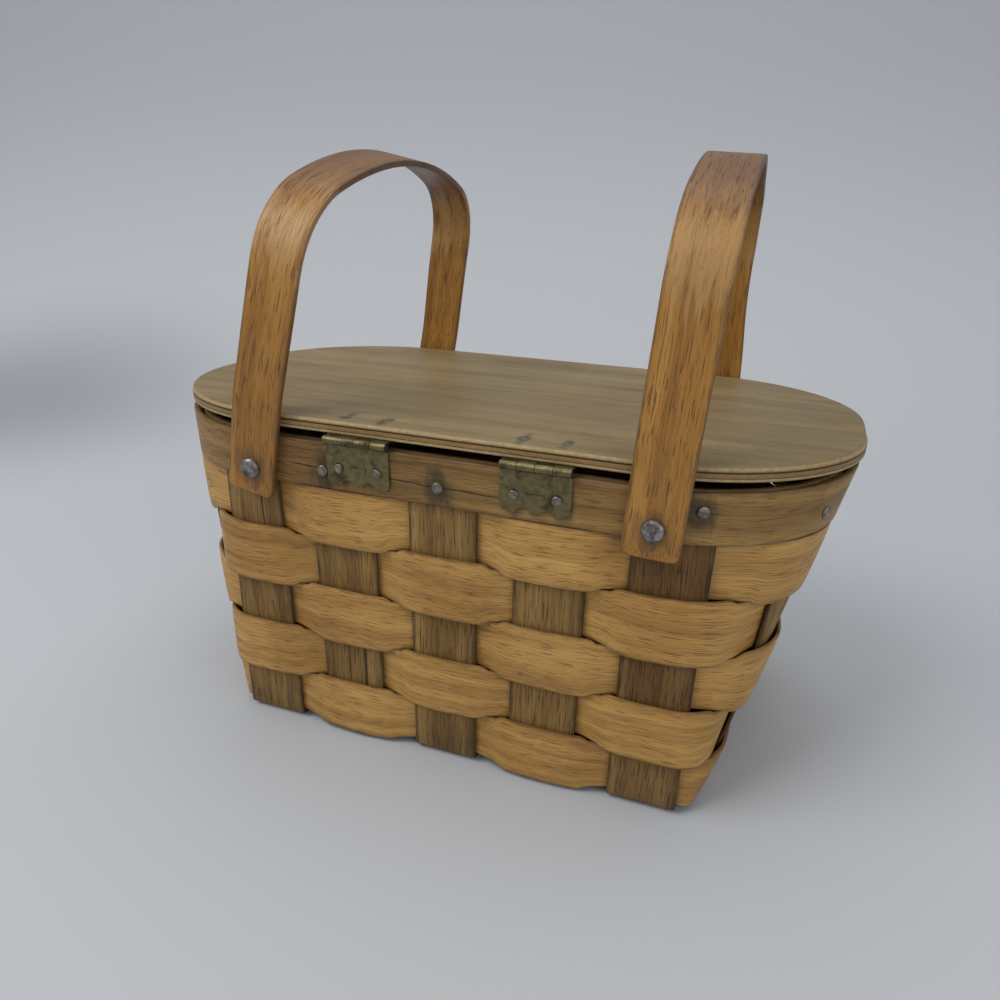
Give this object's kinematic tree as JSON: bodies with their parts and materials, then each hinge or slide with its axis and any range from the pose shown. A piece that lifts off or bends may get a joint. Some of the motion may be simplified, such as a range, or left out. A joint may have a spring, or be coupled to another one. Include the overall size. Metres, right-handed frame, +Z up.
{
  "type": "picnic basket",
  "caption": "Woven splint picnic basket with a bentwood rim, a hinged plywood lid and swinging bent handles.",
  "frame": {"origin": "middle of the base, on the ground", "axes": "+X along the basket's length, +Z up, the hinges on the -Y side"},
  "size_m": [0.28, 0.1712, 0.2313],
  "materials": {
    "weaver_splint": "satin",
    "stake_splint": "matte",
    "rim_wood": "satin",
    "plywood": "matte",
    "handle_wood": "satin",
    "hinge_brass": "aged",
    "rivet_steel": "aged",
    "nail_steel": "aged"
  },
  "bodies": {
    "basket": {"weaver_row_1": "weaver_splint", "weaver_row_2": "weaver_splint", "weaver_row_3": "weaver_splint", "weaver_row_4": "weaver_splint", "weaver_row_5": "weaver_splint", "cross_splint_1": "stake_splint", "cross_splint_2": "stake_splint", "cross_splint_3": "stake_splint", "cross_splint_4": "stake_splint", "cross_splint_5": "stake_splint", "long_splint_1": "stake_splint", "long_splint_2": "stake_splint", "long_splint_3": "stake_splint", "outer_rim_band": "rim_wood", "inner_rim_hoop": "rim_wood", "left_hinge_body_leaf": "hinge_brass", "left_hinge_pin": "nail_steel", "left_handle_rivets": "rivet_steel", "right_hinge_body_leaf": "hinge_brass", "right_hinge_pin": "nail_steel", "right_handle_rivets": "rivet_steel", "rivet_washers": "rivet_steel", "rim_nails": "nail_steel", "hinge_body_nails": "nail_steel"},
    "lid": {"lid_panel": "plywood", "left_hinge_lid_leaf": "hinge_brass", "right_hinge_lid_leaf": "hinge_brass", "hinge_lid_nails": "nail_steel"},
    "left_handle": {"left_handle": "handle_wood"},
    "right_handle": {"right_handle": "handle_wood"}
  },
  "joints": [
    {"name": "lid_hinge", "type": "hinge", "parent": "basket", "child": "lid", "pos_m": [0, -0.08198, 0.1344], "axis": [1, 0, 0], "range_deg": [0, 78]},
    {"name": "left_handle_swing", "type": "hinge", "parent": "basket", "child": "left_handle", "pos_m": [-0.077, 0, 0.1197], "axis": [0, -1, 0], "range_deg": [0, 160]},
    {"name": "right_handle_swing", "type": "hinge", "parent": "basket", "child": "right_handle", "pos_m": [0.077, 0, 0.1197], "axis": [0, 1, 0], "range_deg": [0, 144.4]}
  ],
  "couplings": [
    {"joint": "left_handle_swing", "follows": "lid_hinge", "ratio": 2.05},
    {"joint": "right_handle_swing", "follows": "lid_hinge", "ratio": 1.85}
  ]
}
